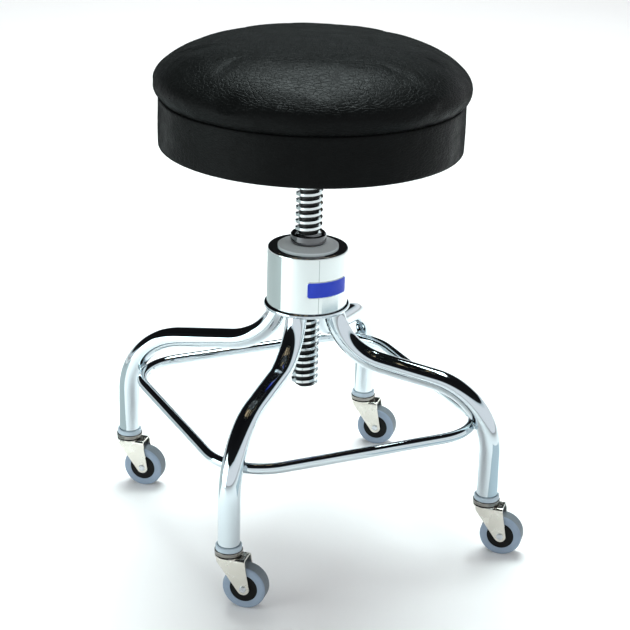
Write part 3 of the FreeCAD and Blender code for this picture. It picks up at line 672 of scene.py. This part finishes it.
def leg_welds():
    """The beads round the legs where they come out under the hub's ring."""
    start = LEG_LOW.x + LEG_RADIUS - AXIS.x
    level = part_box("hub_base_ring")[0].z
    for number, (side, degrees) in enumerate(SIDES.items()):
        angle = math.radians(degrees)
        middle = AXIS + Vector((start * math.cos(angle), start * math.sin(angle), level))
        path, outward = [], []
        for i in range(LEG_POINTS):
            t = 2 * math.pi * i / LEG_POINTS
            out = Vector((math.cos(t), math.sin(t), 0))
            path.append(middle + out * (LEG_RADIUS + 0.2 * MM))
            outward.append(out)

        def build(work):
            bead(work, path, outward, LEG_BEAD, LEG_RIPPLES, 20 + number * 2.3)
        name = "leg_weld_" + side
        piece(name, mesh_from(name, build), WELD_METAL, "base", 60.0)


# Wheels
def tyre_lines():
    """The mould's parting line round each tread."""
    line = [(WHEEL_RADIUS + out * MM, across * MM) for out, across in PARTING_LINE]
    for side in SIDES:
        joint = JOINTS["roll_" + side]
        upright = Vector(joint["axis"]).to_track_quat("Z", "Y").to_matrix().to_4x4()
        stand = Matrix.Translation(Vector(joint["pos_m"])) @ upright
        name = "tyre_line_" + side
        mesh = mesh_from(name, turned(line, 144, closed=True, stand=stand))
        piece(name, mesh, TYRES[side], "wheel_" + side, 60.0)


def dress_frame():
    """The nodes of the frame whose shapes stay get their finishes."""
    looks = {
        "seat_board": PLYWOOD, "seat_flange": BLACK_STEEL, "seat_screws": STEEL_WIRE,
        "lift_screw": SCREW_PLATE, "lift_nut": NUT_PAINTED_DARK, "lift_bumper": BLACK_RUBBER,
        "hub_shell": HUB_CHROME, "hub_spider": BLACK_STEEL, "hub_base_ring": CHROME,
        "hub_washer": PALE_PLASTIC, "foot_ring": CHROME,
    }
    for side in SIDES:
        looks.update({
            "leg_" + side: CHROME, "caster_socket_" + side: SOCKET_PLASTIC,
            "caster_stem_" + side: RACE_STEEL, "caster_bearing_" + side: BLACK_NYLON,
            "caster_fork_" + side: NICKEL, "caster_axle_" + side: RIVET_STEEL,
            "wheel_core_" + side: BLACK_NYLON, "wheel_tyre_" + side: TYRES[side],
        })
    for node, material in looks.items():
        smooth(dress(frame["nodes"][node], material), 35.0)


# Studio: pale floor, dark ceiling for the chrome to mirror, soft lights and the camera
def sky():
    """A white horizon under a dark ceiling that hangs lower behind and to the left of the stool."""
    world = bpy.data.worlds.new("studio")
    bpy.context.scene.world = world
    world.use_nodes = True
    lean, towards = math.radians(CEILING_LEAN), math.radians(CEILING_OPENS)
    upright = (-math.sin(lean) * math.sin(towards), math.sin(lean) * math.cos(towards), math.cos(lean))
    direction = add(world, "TexCoord").outputs["Generated"]
    height = reckon(world, "VectorMath", "DOT_PRODUCT", direction, upright).outputs["Value"]
    ramp = add(world, "ValToRGB", {"Fac": spread(world, height, 0.0, 1.0, -1.0, 1.0)})
    start = (1 + math.sin(math.radians(CEILING_HEIGHT))) / 2
    stops = [(0.0, HORIZON_COLOUR), (start - 0.05, HORIZON_COLOUR), (start, (0.62, 0.70, 0.74)),
             (start + 0.012, (0.012, 0.012, 0.013)), (1.0, (0.006, 0.006, 0.007))]
    while len(ramp.color_ramp.elements) < len(stops):
        ramp.color_ramp.elements.new(0.5)
    for element, (position, colour) in zip(ramp.color_ramp.elements, stops):
        element.position = position
        element.color = (*colour, 1)
    world.node_tree.links.new(ramp.outputs["Color"], world.node_tree.nodes["Background"].inputs["Color"])


def floor():
    """A wide pale floor."""
    def build(work):
        bmesh.ops.create_circle(work, cap_ends=True, segments=96, radius=FLOOR_RADIUS)
    thing = bpy.data.objects.new("floor", mesh_from("floor", build))
    bpy.context.scene.collection.objects.link(thing)
    material = new_material("pale_floor", Roughness=0.9, Specular_IOR_Level=0.1)
    clouds = grain(material, 3.0)
    link(material, tinted(material, clouds, (0.93, 0.93, 0.93), (0.95, 0.95, 0.95)), "Base Color")
    dress(thing, material)


def card(name, start, end, near, far, tone):
    """A flat toned card on the floor, between two azimuths, that shows only in reflections."""
    def build(work):
        points = []
        for reach, sweep in ((near, (start, end)), (far, (end, start))):
            for k in range(13):
                angle = math.radians(sweep[0] + (sweep[1] - sweep[0]) * k / 12)
                spot = (reach * math.sin(angle), -reach * math.cos(angle), CARD_HEIGHT)
                points.append(work.verts.new(spot))
        work.faces.new(points)
    thing = bpy.data.objects.new(name, mesh_from(name, build))
    bpy.context.scene.collection.objects.link(thing)
    material = new_material(name, Roughness=0.9, Specular_IOR_Level=0.0)
    lighter = tuple(1.08 * channel for channel in tone)
    link(material, tinted(material, grain(material, 5.0), tone, lighter), "Base Color")
    dress(thing, material)
    thing.visible_camera = thing.visible_diffuse = thing.visible_shadow = False


def area_light(name, azimuth, elevation, distance, size, power, mirrored=True, aim=LIGHT_AIM,
               colour=(1.0, 1.0, 1.0)):
    """A soft rectangular light that looks at the stool; a mirrored one shows in the chrome."""
    a, e = math.radians(azimuth), math.radians(elevation)
    spot = aim + distance * Vector((math.sin(a) * math.cos(e), -math.cos(a) * math.cos(e), math.sin(e)))
    data = bpy.data.lights.new(name, "AREA")
    data.shape = "RECTANGLE"
    data.size, data.size_y = size
    data.energy = power
    data.color = colour
    light = bpy.data.objects.new(name, data)
    light.visible_glossy = mirrored
    light.visible_camera = False
    light.location = spot
    light.rotation_euler = (aim - spot).to_track_quat("-Z", "Y").to_euler()
    bpy.context.scene.collection.objects.link(light)


def camera():
    """The camera at the photograph's angle, with its slight lean."""
    sin_a, cos_a = math.sin(CAMERA_AZIMUTH), math.cos(CAMERA_AZIMUTH)
    sin_e, cos_e = math.sin(CAMERA_ELEVATION), math.cos(CAMERA_ELEVATION)
    back = Vector((sin_a * cos_e, -cos_a * cos_e, sin_e))
    level = Vector((cos_a, sin_a, 0))
    rise = back.cross(level)
    right = math.cos(CAMERA_ROLL) * level + math.sin(CAMERA_ROLL) * rise
    up = back.cross(right)
    data = bpy.data.cameras.new("camera")
    data.lens = CAMERA_LENS
    data.sensor_width = CAMERA_SENSOR
    thing = bpy.data.objects.new("camera", data)
    thing.matrix_world = Matrix.Translation(CAMERA_AIM + back * CAMERA_DISTANCE) @ Matrix(
        (right, up, back)).transposed().to_4x4()
    bpy.context.scene.collection.objects.link(thing)
    bpy.context.scene.camera = thing


# The finishes
VINYL = vinyl("black_vinyl")
CHROME = chrome("tube_chrome")
HUB_CHROME = chrome("hub_chrome", tint=(0.67, 0.71, 0.71), rough=(0.05, 0.12))
SCREW_PLATE = thread_metal("plated_screw")
# Painted reflection: the nut's near-black tint stands in for the dark ceiling mirrored in its plated metal.
NUT_PAINTED_DARK = turned_metal("plated_nut_painted_dark", (0.13, 0.13, 0.135), rings=1100.0, rough=(0.05, 0.14))
NICKEL = nickel("pressed_nickel")
RIVET_STEEL = turned_metal("rivet_steel", (0.62, 0.64, 0.67), rings=900.0, rough=(0.2, 0.35))
STEEL_WIRE = turned_metal("zinc_steel", (0.60, 0.61, 0.63), rings=900.0, rough=(0.2, 0.4))
WELD_METAL = chrome("weld_chrome", tint=(0.62, 0.69, 0.72), rough=(0.12, 0.26))
JOINT_METAL = chrome("joint_chrome", tint=(0.34, 0.38, 0.38), rough=(0.16, 0.3))
PLATE_EDGE = chrome("plate_edge", tint=(0.62, 0.68, 0.72), rough=(0.1, 0.2))
BLUE_PLATE = moulded("blue_enamel", (0.014, 0.040, 0.46), (0.020, 0.052, 0.54), rough=0.34, gloss=0.25)
PALE_PLASTIC = moulded("pale_plastic", (0.70, 0.77, 0.79), (0.78, 0.84, 0.86), rough=0.36)
SOCKET_PLASTIC = moulded("socket_plastic", (0.36, 0.44, 0.50), (0.44, 0.52, 0.58), rough=0.36)
BLACK_NYLON = moulded("black_nylon", (0.003, 0.003, 0.003), (0.007, 0.007, 0.007), rough=0.5, gloss=0.12)
BLACK_RUBBER = moulded("black_rubber", (0.012, 0.012, 0.012), (0.025, 0.025, 0.025), rough=0.62)
TYRES = {side: tyre("grey_rubber_" + side, JOINTS["roll_" + side]) for side in SIDES}
RACE_STEEL = turned_metal("race_steel", (0.24, 0.23, 0.21), rings=900.0, rough=(0.1, 0.25))
PLYWOOD = plywood("plywood")
BLACK_STEEL = enamel("black_enamel", (0.010, 0.010, 0.011), (0.02, 0.02, 0.022))

# The stool
dress_frame()
cushion()
band()
staples()
drum_joint()
drum_plate("hub_plate_edge", PLATE_SIZE, PLATE_CORNER, PLATE_THICK, PLATE_EDGE)
drum_plate("hub_plate_face", FACE_SIZE, FACE_CORNER, FACE_THICK, BLUE_PLATE)
ring_welds()
leg_welds()
tyre_lines()
# The studio; angles in degrees from the front, and the lights' power in watts
sky()
floor()
area_light("ceiling_wash", azimuth=19.5, elevation=89.0, distance=4.0, size=(18.0, 18.0), power=400.0,
           mirrored=False)
area_light("back_wash", azimuth=199.5, elevation=55.0, distance=3.4, size=(3.0, 2.0), power=50.0,
           mirrored=False, aim=Vector((-0.4, 1.15, 0)))
area_light("left_softbox", azimuth=-45.0, elevation=0.0, distance=1.3, size=(0.9, 0.6), power=6.0,
           colour=COOL_LIGHT)
area_light("top_softbox", azimuth=199.5, elevation=70.0, distance=2.2, size=(1.4, 1.0), power=74.0,
           colour=COOL_LIGHT)
card("left_card", start=-150.0, end=-58.0, near=0.34, far=1.7, tone=(0.36, 0.39, 0.39))
card("right_card", start=62.0, end=118.0, near=0.32, far=0.8, tone=(0.42, 0.48, 0.52))
camera()
bpy.context.scene.view_settings.view_transform = "Standard"
